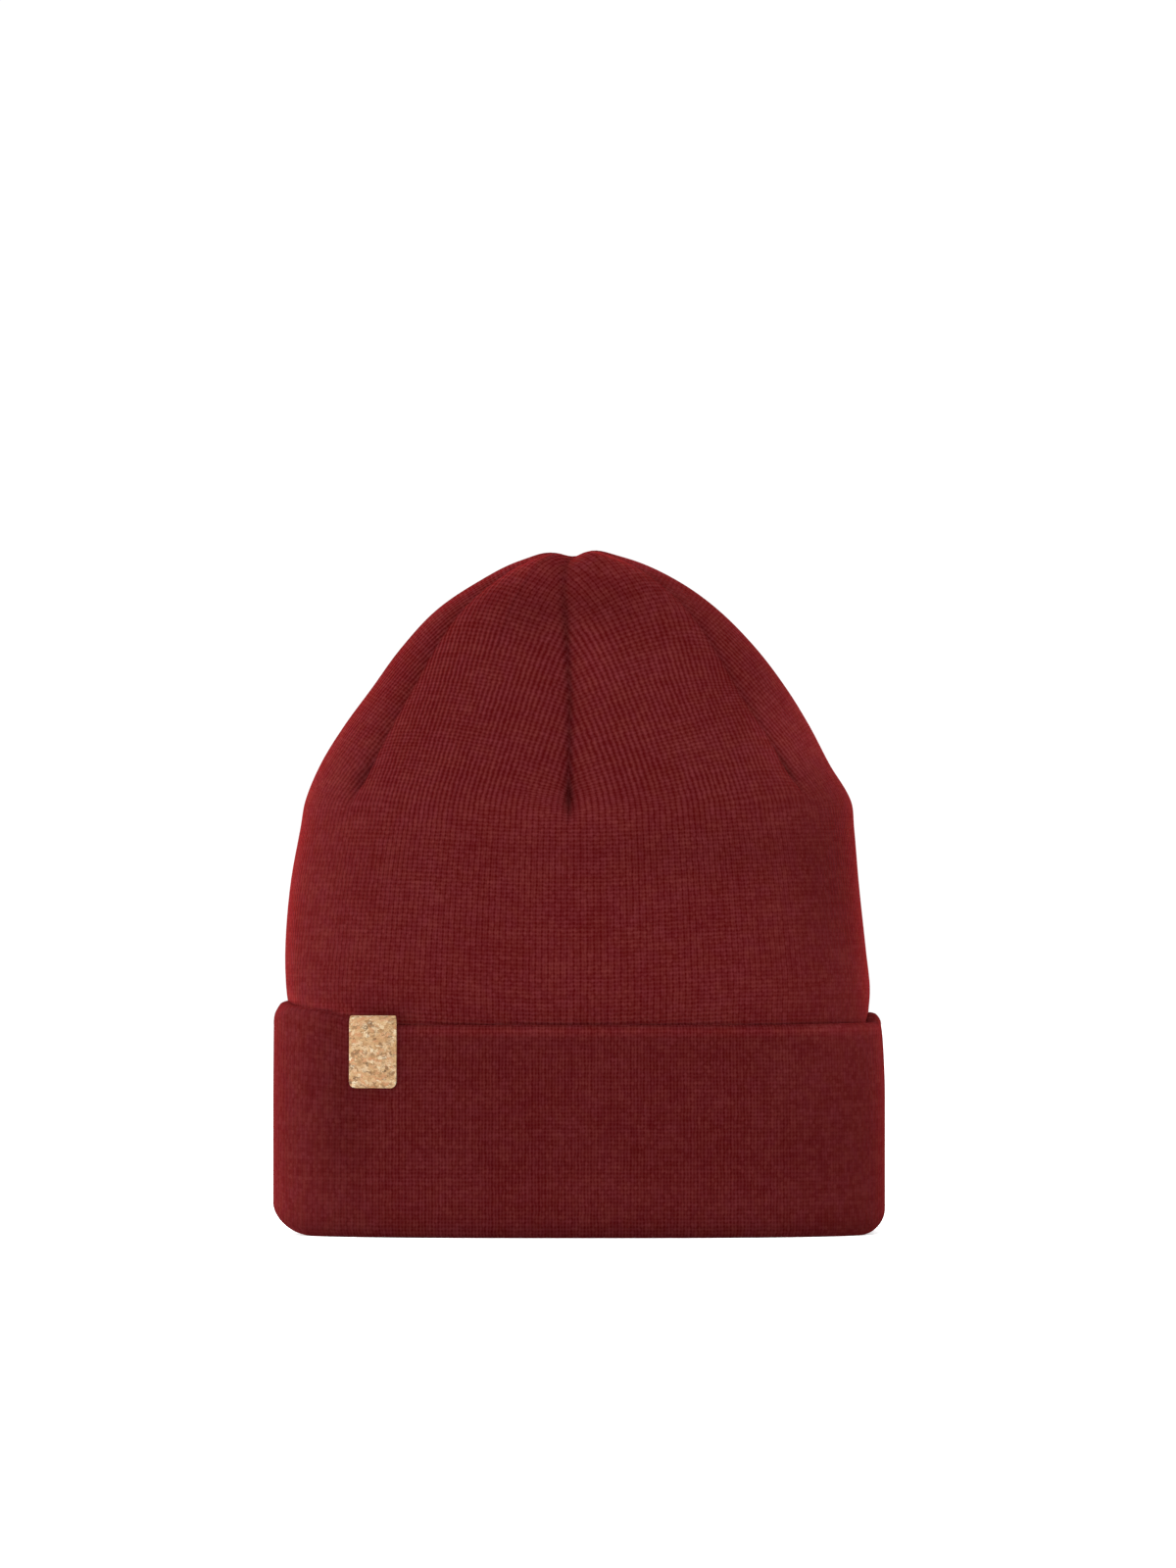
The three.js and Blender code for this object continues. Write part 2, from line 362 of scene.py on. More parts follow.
skin = Skin()
dart_depth_at = table_curve([row[0] for row in DART_DEPTHS], [row[1:] for row in DART_DEPTHS])
dart_drift_at = table_curve([row[0] for row in DART_DRIFTS], [row[1:] for row in DART_DRIFTS])
gore_wales = CROWN_WALES // DART_COUNT
half_gore = gore_wales / 2


class GoreLayout:
    """Where the wales of a gore run: side by side below the dart tips, cut off by the darts above."""

    def __init__(self):
        low, high = DART_EASE
        ease = smoothstep(skin.stations, skin.shoulder + low, skin.shoulder + high)
        girth = np.maximum(skin.girth, 1e-3)
        rate = -ease * np.gradient(np.log(girth), skin.stations)
        self.stretch = smoothstep(skin.stations - skin.shoulder, *STRETCH_START)
        spread = 1 + WALE_STRETCH * self.stretch
        self.ease = ease
        self.rate = rate + np.gradient(np.log(spread), skin.stations)
        self.growth = np.exp(integral(rate, skin.stations)) * spread

    def reach(self, station):
        """How many wales there are on each side of the gore's middle."""
        return half_gore / np.interp(station, skin.stations, self.growth)


layout = GoreLayout()


def dart_turn(dart, station):
    """Where a dart runs round the hat. The front one drifts by itself and the side ones outward."""
    front, right, left = np.moveaxis(dart_drift_at(station - skin.shoulder), -1, 0)
    drifts = [front, right, -right, np.zeros_like(front), left, -left]
    girth = np.maximum(skin.girth_at(station), 1.0)
    return dart / DART_COUNT + DART_TURN + drifts[dart % DART_COUNT] / girth


def gore_turn(gore, station, share):
    low = dart_turn(gore, station)
    high = dart_turn(gore + 1, station)
    return low + (high - low) * share


def course_lengths(gore):
    """Length along the knit from the rim, over a grid of stations and places across a gore.

    Above the dart tips it is true along a gore's middle, and the courses stay square to the wales, so
    they dip towards the darts.
    """
    shares = np.linspace(0, 1, GORE_SAMPLES)
    station, share = np.meshgrid(skin.stations, shares, indexing="ij")
    points = skin.read(skin.points, station, gore_turn(gore, station, share))
    upward = np.gradient(points, skin.stations, axis=0)
    across = np.gradient(points, shares, axis=1)
    drift = (share - 0.5) * layout.rate[:, None]
    wale_way = unit(upward + across * drift[..., None])
    lean = np.sum(unit(across) * wale_way, axis=-1) * np.linalg.norm(across, axis=-1)
    slant = integral(lean, shares)
    middle = len(shares) // 2
    slant -= slant[:, middle][:, None]
    speed = np.linalg.norm(upward[:, middle], axis=-1)
    spread = 1 + COURSE_STRETCH * layout.stretch
    speed = (1 + (speed - 1) * layout.ease) / spread
    lengths = integral(speed, skin.stations)
    return lengths[:, None] + slant * (layout.ease / spread)[:, None]


def of_dart(values, dart):
    return np.asarray(values)[dart % DART_COUNT]


def dart_inset(dart, station, distance):
    """How far a point beside a dart lies under the form."""
    up = station - skin.shoulder
    strength = of_dart(DART_STRENGTHS, dart)
    near_top = smoothstep(up, *TIP_FADE)
    depth = dart_depth_at(up - of_dart(DART_TIPS, dart) * (1 - near_top))
    strength = strength + (1 - strength) * smoothstep(up, *DART_MEETING)
    crease = depth[..., 0] * np.exp(-distance / CREASE_REACH)
    hollow = depth[..., 1] * np.exp(-distance / HOLLOW_REACH)
    return (crease + hollow) * strength


gore_lengths = [course_lengths(gore) for gore in range(DART_COUNT)]


def course_at(gore, station, share):
    """The course at a place on a gore. Courses dip a little at the hat's front and back."""
    column = np.clip(share, 0, 1) * (GORE_SAMPLES - 1)
    length = read_table(gore_lengths[gore], skin.row(station), column)
    turn = (gore + share) / DART_COUNT
    from_front = np.abs((turn + 0.25) % 0.5 - 0.25) * skin.girth_at(station)
    return (length + COURSE_DIP * bell(from_front, COURSE_DIP_REACH)) / CROWN_COURSE


def crowded(gore, share):
    """Wales lie closer together towards the hat's two sides."""
    return share + WALE_CROWDING * CROWDED_GORES[gore] * share * (1 - share)


def gore_row(gore, station, columns, wall):
    """One ring across a gore: its points, their places in the knit and their looks.

    The first and last points lie on the gore's sides. Between them are the columns that the darts leave.
    """
    reach = float(layout.reach(station))
    inside = columns[np.abs(columns) < reach - CLOSE_COLUMN]
    wale = np.concatenate([[-reach], inside, [reach]])
    share = crowded(gore, 0.5 + wale / (2 * reach))
    level = np.full(len(wale), station)
    turn = gore_turn(gore, level, share)
    distance = np.minimum(share, 1 - share) * skin.girth_at(level) / DART_COUNT
    dart = np.where(share < 0.5, gore, gore + 1)
    start = skin.covered - HIDDEN_DEPTH
    low, high = RELIEF_START
    relief = WALE_RELIEF * -np.cos(2 * math.pi * wale) * smoothstep(level, start + low, start + high)
    inset = dart_inset(dart, level, distance) + (wall if wall else -relief)
    points = skin.read(skin.points, level, turn)
    points = points - skin.read(skin.normals, level, turn) * inset[:, None]
    points[:, 2] += top_bumps(points)
    knit = np.stack([gore * gore_wales + half_gore + wale, course_at(gore, level, share)], axis=-1)
    # Painted shade along the darts, patches of painted shade and light, less the painted light at the
    # crease.
    shade = painted_seam_shade(dart, level, distance, share < 0.5)
    shade += painted_patch_shading(points, CROWN_PAINTED_PATCHES) - painted_crease_light(points)
    rib = rib_strength(level - skin.shoulder)
    return {"points": points, "knit": knit, "shade": shade, "rib": rib, "side": len(inside) // 2}


def rib_strength(up):
    return smoothstep(up, *RIB_START) * (1 - (1 - RIB_AT_TOP) * smoothstep(up, *RIB_END))


def painted_crease_light(points):
    """Painted light where the crown meets the hem, against the shade in the crease."""
    above_hem = points[:, 2] - CUFF_HEIGHT - hem_rise(points[:, 0])
    light = CREASE_PAINTED_LIGHT + LEFT_CREASE_PAINTED_LIGHT * smoothstep(-points[:, 0], *LEFT_CREASE)
    return light * np.exp(-np.abs(above_hem) / CREASE_FADE)


def hem_rise(x):
    """How much higher the hem lies towards the hat's sides than the height it is named by."""
    share, on_left = side_share(x)
    to_side = smoothstep(share, RISE_START, 1.0)
    rise = by_side(CUFF_RISE, on_left) * to_side - HEM_DROP * (1 - to_side)
    return rise + by_side(SIDE_RISE, on_left) * smoothstep(share, by_side(SIDE_START, on_left), 1.0)


def side_share(x):
    """How far a place lies towards the hat's side, and whether that is the left one."""
    on_left = x < 0
    return np.abs(x) / np.where(on_left, COVERED_SECTION[LEFT], COVERED_SECTION[RIGHT]), on_left


def by_side(values, on_left):
    return np.where(on_left, values["left"], values["right"])


def painted_seam_shade(dart, station, distance, beyond):
    """Painted shade along a dart's crease and at its tip."""
    up = station - skin.shoulder
    past_tip = up - of_dart(DART_TIPS, dart)
    ahead, back = of_dart(DART_REACHES, dart).T
    end = bell(past_tip - END_PLACE, END_LENGTH) * bell(distance, of_dart(END_REACHES, dart))
    line = bell(distance, np.where(beyond, ahead, back)) * smoothstep(past_tip, *LINE_START)
    line *= 1 - (1 - LINE_AT_TOP) * smoothstep(up, *LINE_FADE)
    return of_dart(DART_END_PAINTED_SHADE, dart) * end + of_dart(DART_LINE_PAINTED_SHADE, dart) * line


def painted_patch_shading(points, patches):
    """Soft patches of painted shade and painted light on the front."""
    shade = np.zeros(len(points))
    for x, z, reach_x, reach_z, amount in patches:
        away = ((points[:, 0] - x) / reach_x) ** 2 + ((points[:, 2] - z) / reach_z) ** 2
        shade += amount * np.exp(-away)
    return shade * (1 - smoothstep(points[:, 1], *BACK_FADE))


def top_bumps(points):
    """Height added by the bumps of the gathered top."""
    height = np.zeros(len(points))
    near = bell(points[:, 1], TOP_DEPTH) * smoothstep(points[:, 2], *TOP_BUMP_START)
    for x, reach, amount in TOP_BUMPS:
        height += amount * bell(points[:, 0] - x, reach) * near
    return height


def ring_stations(inner):
    """Ring places from the rim to near the apex, with none on the straight stretch behind the cuff."""
    places = [0.0]
    place = skin.covered - HIDDEN_DEPTH
    last = skin.apex - APEX_CLEAR
    for reach, outer_step, inner_step in RING_STRETCHES:
        end = min(skin.shoulder + reach, last)
        count = max(1, round((end - place) / (inner_step if inner else outer_step)))
        places.extend(np.linspace(place, end, count + 1)[:-1])
        place = end
    return places + [last]


def add_object(name, data):
    made = bpy.data.objects.new(name, data)
    bpy.context.scene.collection.objects.link(made)
    return made


class MeshParts:
    """Gathers points, faces and each corner's place on the maps, then makes the mesh."""

    def __init__(self):
        self.points = []
        self.count = 0
        self.faces = []
        self.maps = {MAP_KNIT: [], MAP_SHEET: []}
        self.values = {}

    def add_points(self, points):
        first = self.count
        self.points.append(points.reshape(-1, 3))
        self.count += points.size // 3
        return first

    def add_faces(self, faces, knit, sheet):
        """faces by corner, with each corner's place on the two maps."""
        self.faces.append(np.asarray(faces))
        self.maps[MAP_KNIT].append(np.asarray(knit, float).reshape(-1, 2))
        self.maps[MAP_SHEET].append(np.asarray(sheet, float).reshape(-1, 2))

    def build(self, name, material):
        points = np.concatenate(self.points) * MM
        corners = np.concatenate([faces.reshape(-1) for faces in self.faces])
        sizes = np.concatenate([np.full(len(faces), faces.shape[1]) for faces in self.faces])
        used, corners = np.unique(corners, return_inverse=True)
        mesh = bpy.data.meshes.new(name)
        mesh.vertices.add(len(used))
        mesh.vertices.foreach_set("co", points[used].astype(np.float32).reshape(-1))
        mesh.loops.add(len(corners))
        mesh.loops.foreach_set("vertex_index", corners.astype(np.int32))
        mesh.polygons.add(len(sizes))
        starts = np.concatenate([[0], np.cumsum(sizes)[:-1]])
        mesh.polygons.foreach_set("loop_start", starts.astype(np.int32))
        mesh.polygons.foreach_set("use_smooth", np.ones(len(sizes), bool))
        for map_name, parts in self.maps.items():
            layer = mesh.uv_layers.new(name=map_name)
            layer.uv.foreach_set("vector", np.concatenate(parts).astype(np.float32).reshape(-1))
        for value_name, values in self.values.items():
            attribute = mesh.attributes.new(value_name, "FLOAT", "POINT")
            attribute.data.foreach_set("value", np.concatenate(values)[used].astype(np.float32))
        mesh.update(calc_edges=True)
        mesh.validate()
        mesh.materials.append(material)
        return add_object(name, mesh)


def quads_of(table):
    """A table by row and column, read at the corners of the quads between its points."""
    corners = [table[:-1, :-1], table[:-1, 1:], table[1:, 1:], table[1:, :-1]]
    return np.stack(corners, axis=2).reshape(-1, 4, *table.shape[2:])


# Where the crown's two faces lie on the sheet map, from the rim to the apex.
OUTER_SHEET = (0.26, 1.0)
INNER_SHEET = (0.24, 0.0)

# What a row of points keeps for the corners of its faces.
CORNER_VALUES = ("ids", "knit", "sheet")


class CrownSurface:
    """One side of the crown's wall: rings of points over six gores, joined along the darts."""

    def __init__(self, parts, columns, wall, span):
        self.parts = parts
        self.inward = wall > 0
        self.span = span
        self.columns = columns
        self.places = ring_stations(self.inward)
        self.rows = [self.ring(place, wall) for place in self.places]
        sunk = dart_inset(np.zeros(1, int), np.array([skin.apex]), np.zeros(1))[0]
        apex_z = CROWN_SECTIONS[-1][Z] - sunk - wall
        apex = np.array([[0.0, 0.0, apex_z]])
        apex[:, 2] += top_bumps(apex)
        self.apex = parts.add_points(apex)
        parts.values["shade"].append(np.full(1, APEX_PAINTED_SHADE))
        parts.values["rib"].append(np.full(1, RIB_AT_TOP))
        for gore in range(DART_COUNT):
            for lower, upper in zip(self.rows[:-1], self.rows[1:]):
                self.add_strip(lower[gore], upper[gore])
            self.add_top(gore)

    def ring(self, place, wall):
        """The rows of all gores at one place, each ending where the next one starts."""
        rows = [self.row(gore, place, wall) for gore in range(DART_COUNT)]
        for gore, row in enumerate(rows):
            row["ids"][-1] = rows[(gore + 1) % DART_COUNT]["ids"][0]
        return rows

    def row(self, gore, place, wall):
        row = gore_row(gore, place, self.columns, wall)
        first = self.parts.add_points(row["points"])
        self.parts.values["shade"].append(row["shade"])
        self.parts.values["rib"].append(row["rib"])
        low, high = self.span
        height = np.full(len(row["knit"]), low + (high - low) * place / skin.apex)
        row["sheet"] = np.stack([row["knit"][:, 0] / CROWN_WALES, height], axis=-1)
        row["ids"] = first + np.arange(len(row["points"]))
        return row

    def add(self, corners):
        """Faces given as columns of (row, place in the row), all with the same number of corners."""
        order = corners[::-1] if self.inward else corners
        self.parts.add_faces(*[
            np.stack([row[key][place] for row, place in order], axis=1) for key in CORNER_VALUES
        ])

    def add_strip(self, lower, upper):
        """Faces between two rings of a gore. Columns that end at a dart close in a fan."""
        dropped = lower["side"] - upper["side"]
        kept = np.arange(1, len(upper["ids"]) - 2)
        self.add([
            (lower, kept + dropped), (lower, kept + dropped + 1), (upper, kept + 1), (upper, kept),
        ])
        fan = np.arange(1, dropped + 1)
        corner = np.ones(dropped, int)
        self.add([(lower, fan), (lower, fan + 1), (upper, corner)])
        self.add([(lower, -2 - fan), (lower, -1 - fan), (upper, -2 * corner)])
        left, right = np.array([0]), np.array([-1])
        self.add([(lower, left), (lower, left + 1), (upper, left + 1), (upper, left)])
        self.add([(lower, right - 1), (lower, right), (upper, right), (upper, right - 1)])

    def add_top(self, gore):
        last = self.rows[-1][gore]
        steps = np.arange(len(last["ids"]) - 1)
        middle = len(last["ids"]) // 2
        top = {
            "ids": np.array([self.apex]),
            "knit": last["knit"][middle][None],
            "sheet": last["sheet"][middle][None] * (1, 0) + (0, self.span[1]),
        }
        self.add([(last, steps), (last, steps + 1), (top, np.zeros_like(steps))])


def make_crown(material):
    parts = MeshParts()
    # The shade values are painted shade and painted light.
    parts.values.update(shade=[], rib=[])
    outer_columns = np.arange(1 - half_gore * WALE_COLUMNS, half_gore * WALE_COLUMNS) / WALE_COLUMNS
    inner_columns = np.arange(1 - half_gore, half_gore)
    outer = CrownSurface(parts, outer_columns, 0.0, OUTER_SHEET)
    inner = CrownSurface(parts, inner_columns, KNIT_WALL, INNER_SHEET)
    for gore in range(DART_COUNT):
        add_rim(parts, outer.rows[0][gore], inner.rows[0][gore])
    return parts.build("crown_knit", material)


def add_rim(parts, outer, inner):
    """A gore's lower edge, one face for each wale."""
    wale = np.arange(gore_wales)[:, None]
    near = wale + np.arange(2)
    far = wale * WALE_COLUMNS + np.arange(WALE_COLUMNS, -1, -1)
    parts.add_faces(*[
        np.concatenate([inner[key][near], outer[key][far]], axis=1) for key in CORNER_VALUES
    ])


# The cuff.
HEM_RADIUS = KNIT_WALL / 2
HEM_OFFSET = CUFF_SLOT + HEM_RADIUS
HEM_Z = CUFF_HEIGHT - HEM_RADIUS
CUFF_COLUMNS = CUFF_WALES * WALE_COLUMNS

# The cuff draws in towards its hem at the sides: how far, from which share of the half width and height.
TAPER = {"left": 0.0, "right": 0.8}
TAPER_SIDE = 0.85
TAPER_START = 44.0

# The hem leans on the crown, except beside the label and on its outside at the hat's ends.
HEM_LEAN = 1.4
LEAN_START = 38.0
SIDE_STAND = {"left": 0.85, "right": 0.9}
STAND_SIDE = 0.8
LABEL_ROOM = 11.0

# At the hat's ends the hem slants down to the outside and gets thinner.
HEM_SLANT = {"left": 3.6, "right": 2.4}
SLANT_START = 60.0
HEM_THINNING = {"left": 0.2, "right": 0.1}
THIN_START = {"left": 60.0, "right": 56.0}
THIN_LENGTH = 9.0
LIFT_ROUNDNESS = 0.98

# The hem's outer edge gets a painted highlight, except on the left, and the fold gets painted shade at the
# ground.
HEM_PAINTED_HIGHLIGHT = 1.0
HEM_PAINTED_HIGHLIGHT_RISE = 0.1
HEM_PAINTED_HIGHLIGHT_REACH = 1.4
LEFT_HEM = (42.0, 64.0)
FOLD_PAINTED_SHADE = 0.75
FOLD_PAINTED_SHADE_HEIGHT = 6.5

# Steps round the cuff's section, where its plain part behind the hem starts, and where relief starts.
LEG_STEPS = 8
FOLD_STEPS = 7
FOOT_STEPS = 2
FACE_STEPS = 26
HEM_STEPS = 14
BACK_STEPS = 3
SLOT_STEPS = 4
HIDDEN_TOP = 56
FOOT_RELIEF = (0.2, 2.5)

cuff_turns = np.linspace(0, 1, CUFF_COLUMNS + 1)
cuff_outline, cuff_girth = even_outline(np.asarray(COVERED_SECTION, float), cuff_turns)


def outline_at(turn):
    axes = [np.interp(turn % 1, cuff_turns, cuff_outline[:, axis]) for axis in range(3)]
    return np.stack(axes, axis=-1)


def cuff_frame(turn):
    """The covered outline's points and outward directions at some turns."""
    turn = np.asarray(turn, float) % 1
    step = 1.0 / CUFF_COLUMNS
    way = unit(outline_at(turn + step) - outline_at(turn - step))
    outward = np.stack([way[..., 1], -way[..., 0], np.zeros_like(way[..., 0])], axis=-1)
    return outline_at(turn), outward


def fold_lift(share, on_left):
    """How far the fold leaves the ground towards the hat's sides."""
    start = by_side(LIFT_START, on_left)
    into_lift = np.clip((share - start) / (1 - start), 0, 1)
    return by_side(FOLD_LIFT, on_left) * (1 - np.sqrt(1 - LIFT_ROUNDNESS * into_lift**2))


def hem_lean(turn, offset, z, share, on_left):
    """How far the hem leans in towards the crown."""
    from_label = (np.asarray(turn) - LABEL_TURN + 0.5) % 1 - 0.5
    beside_label = 1 - np.exp(-((from_label * cuff_girth / LABEL_ROOM) ** 4))
    lean = HEM_LEAN * beside_label * smoothstep(z, LEAN_START, CUFF_HEIGHT)
    stand = by_side(SIDE_STAND, on_left) * smoothstep(share, STAND_SIDE, 1.0)
    inner = np.clip((HEM_OFFSET - offset) / HEM_RADIUS, 0, 1)
    return lean * (1 - stand * (1 - inner))


def hem_thinning(z, on_left):
    """Share of the wall that is lost below the hem at the hat's ends."""
    into_hem = np.clip((z - by_side(THIN_START, on_left)) / THIN_LENGTH, 0, 1)
    return by_side(HEM_THINNING, on_left) * into_hem**2


def cuff_points(turn, offset, z, level_turn=None):
    """Points at an offset from the covered outline, lifted and raised towards the hat's sides.

    A stiff piece stays level by taking its lift and rise at one turn.
    """
    points, outward = cuff_frame(turn)
    placed_x = points[..., 0] if level_turn is None else cuff_frame(level_turn)[0][..., 0]
    share, on_left = side_share(placed_x)
    at_end = smoothstep(share, by_side(SIDE_START, on_left), 1.0)
    taper = by_side(TAPER, on_left) * smoothstep(share, TAPER_SIDE, 1.0)
    taper = taper * smoothstep(z, TAPER_START, CUFF_HEIGHT)
    lean = hem_lean(turn, offset, z, share, on_left)
    outer = np.clip((offset - CUFF_SLOT) / KNIT_WALL, 0, 1)
    slant = by_side(HEM_SLANT, on_left) * at_end * outer * smoothstep(z, SLANT_START, CUFF_HEIGHT)
    offset = offset - at_end * hem_thinning(z, on_left) * np.maximum(offset - CUFF_SLOT, 0)
    placed = points + outward * (offset - taper - lean)[..., None]
    placed[..., 2] = z + fold_lift(share, on_left) * np.maximum(0, 1 - z / LEG_HEIGHT)
    placed[..., 2] += hem_rise(placed_x) * smoothstep(z, LEG_HEIGHT, CUFF_HEIGHT) - slant
    return placed


def arc(offset, z, radius, start, end, steps):
    """Points of an arc over offset and height, its angles in quarter turns from the outside."""
    angle = np.linspace(start, end, steps + 1) * math.pi / 2
    return np.stack([offset + radius * np.cos(angle), z + radius * np.sin(angle)], axis=-1)


def run(start, end, steps):
    """Points between two points of a section, without the ends."""
    shares = np.linspace(0, 1, steps + 2)[1:-1, None]
    return np.asarray(start) + (np.asarray(end) - np.asarray(start)) * shares


def cuff_section():
    """The cuff's closed section, with the places that show relief.

    It runs from the inner leg's top down round the fold, up over the hem and back.
    """
    face = CUFF_SLOT + KNIT_WALL
    slot_radius = CUFF_SLOT / 2
    leg_top = (-KNIT_WALL, LEG_HEIGHT)
    inner_fold = arc(FOLD_RADIUS - KNIT_WALL, FOLD_RADIUS, FOLD_RADIUS, -2, -1, FOLD_STEPS)
    outer_fold = arc(face - FOLD_RADIUS, FOLD_RADIUS, FOLD_RADIUS, -1, 0, FOLD_STEPS)
    hem = arc(HEM_OFFSET, HEM_Z, HEM_RADIUS, 0, 2, HEM_STEPS)
    slot = arc(slot_radius, KNIT_WALL + slot_radius, slot_radius, 0, -2, SLOT_STEPS)
    hidden_top = (CUFF_SLOT, HIDDEN_TOP)
    shown = np.concatenate([
        [leg_top], run(leg_top, inner_fold[0], LEG_STEPS), inner_fold,
        run(inner_fold[-1], outer_fold[0], FOOT_STEPS), outer_fold,
        run(outer_fold[-1], hem[0], FACE_STEPS), hem, run(hem[-1], hidden_top, BACK_STEPS),
    ])
    hidden = np.concatenate([
        [hidden_top, (CUFF_SLOT, LEG_HEIGHT)], slot, [(0, LEG_HEIGHT)],
    ])
    section = np.concatenate([shown, hidden, [leg_top]])
    relief = np.concatenate([np.ones(len(shown)), np.zeros(len(hidden) + 1)])
    relief[0] = 0
    relief *= smoothstep(section[:, 1], *FOOT_RELIEF)
    return section, relief


def painted_cuff_shading(section, x):
    """Painted highlight on the hem's open edge and painted shade where the fold meets the ground."""
    offset, z = section[..., 0], section[..., 1]
    hem = bell(z - HEM_Z - HEM_PAINTED_HIGHLIGHT_RISE, HEM_PAINTED_HIGHLIGHT_REACH) * (offset > HEM_OFFSET)
    fold = (1 - smoothstep(z, 0.0, FOLD_PAINTED_SHADE_HEIGHT)) * (offset > 0)
    return FOLD_PAINTED_SHADE * fold - HEM_PAINTED_HIGHLIGHT * hem * (1 - smoothstep(-x, *LEFT_HEM))


def make_cuff(material):
    section, relief = cuff_section()
    lengths = path_lengths(section)
    turn, row = np.meshgrid(cuff_turns, np.arange(len(section)))
    tangent = unit(np.gradient(section, axis=0))
    outside = np.stack([tangent[:, 1], -tangent[:, 0]], axis=-1)
    wale = turn * CUFF_WALES
    height = WALE_RELIEF * -np.cos(2 * math.pi * wale) * relief[row]
    offset = section[row, 0] + outside[row, 0] * height
    z = section[row, 1] + outside[row, 1] * height
    points = cuff_points(turn, offset, z)
    parts = MeshParts()
    parts.add_points(points)
    # Painted highlight and shade on the hem and fold, plus patches of painted shade and light.
    shade = painted_cuff_shading(section[row], points[..., 0]).reshape(-1)
    shade = shade + painted_patch_shading(points.reshape(-1, 3), CUFF_PAINTED_PATCHES)
    parts.values["shade"] = [shade]
    ids = np.arange(points.size // 3).reshape(len(section), -1)
    ids[:, -1] = ids[:, 0]
    ids[-1] = ids[0]
    knit = np.stack([wale, lengths[row] / CUFF_COURSE], axis=-1)
    sheet = np.stack([turn, lengths[row] / lengths[-1]], axis=-1)
    parts.add_faces(quads_of(ids), quads_of(knit), quads_of(sheet))
    return parts.build("cuff_knit", material)


# The label: columns that crowd towards its sides, its spread on the round cuff and its rise over the hem.
LABEL_COLUMNS = 33
LABEL_BEVEL = 0.18
LABEL_SPREAD = 0.925
LABEL_RISE = 1.25
LABEL_CROWDING = 1.35
LABEL_FRONT_STEPS = 22
LABEL_BEND_STEPS = 16
LABEL_BACK_STEPS = 6
LABEL_BEVEL_STEPS = 2


def label_path(front_end):
    """The strip's middle line from the front leaf's end over the hem, as offset and height."""
    radius = HEM_RADIUS + PIECE_GAP + LABEL_THICKNESS / 2
    front = np.array((HEM_OFFSET + radius, front_end))
    over = arc(HEM_OFFSET, HEM_Z, radius, 0, 2, LABEL_BEND_STEPS)
    back = np.array((HEM_OFFSET - radius, HEM_Z - LABEL_BACK))
    front_run = run(front, over[0], LABEL_FRONT_STEPS)
    back_run = run(over[-1], back, LABEL_BACK_STEPS)
    return np.concatenate([[front], front_run, over, back_run, [back]])


def make_label(material):
    across = np.linspace(-1, 1, LABEL_COLUMNS)
    across = np.sign(across) * (1 - (1 - np.abs(across)) ** LABEL_CROWDING)
    half = LABEL_WIDTH / 2
    outward = cuff_frame(LABEL_TURN)[1]
    skew = outward[0] / -outward[1]
    columns = []
    for share in across:
        into_corner = max(0.0, abs(share) * half - (half - LABEL_CORNER))
        corner_rise = LABEL_CORNER - math.sqrt(max(0.0, LABEL_CORNER**2 - into_corner**2))
        path = label_path(CUFF_HEIGHT - LABEL_FRONT + corner_rise)
        behind = path[0, 0] - path[:, 0]
        turn = LABEL_TURN + (share * half * LABEL_SPREAD + behind * skew) / cuff_girth
        columns.append(cuff_points(turn, path[:, 0], path[:, 1] + LABEL_RISE, LABEL_TURN))
    points = np.swapaxes(np.array(columns), 0, 1)
    rows = len(points)
    parts = MeshParts()
    parts.add_points(points)
    ids = np.arange(points.size // 3).reshape(rows, -1)
    lengths = path_lengths(points[:, LABEL_COLUMNS // 2])
    sheet = np.stack(np.meshgrid((across + 1) / 2, lengths / lengths[-1]), axis=-1)
    parts.add_faces(quads_of(ids), quads_of(sheet), quads_of(sheet))
    piece = parts.build("label_cork", material)
    solid = piece.modifiers.new("thickness", "SOLIDIFY")
    solid.thickness = LABEL_THICKNESS * MM
    solid.offset = 0
    bevel = piece.modifiers.new("edges", "BEVEL")
    bevel.width = LABEL_BEVEL * MM
    bevel.segments = LABEL_BEVEL_STEPS
    bevel.limit_method = "ANGLE"
    return piece


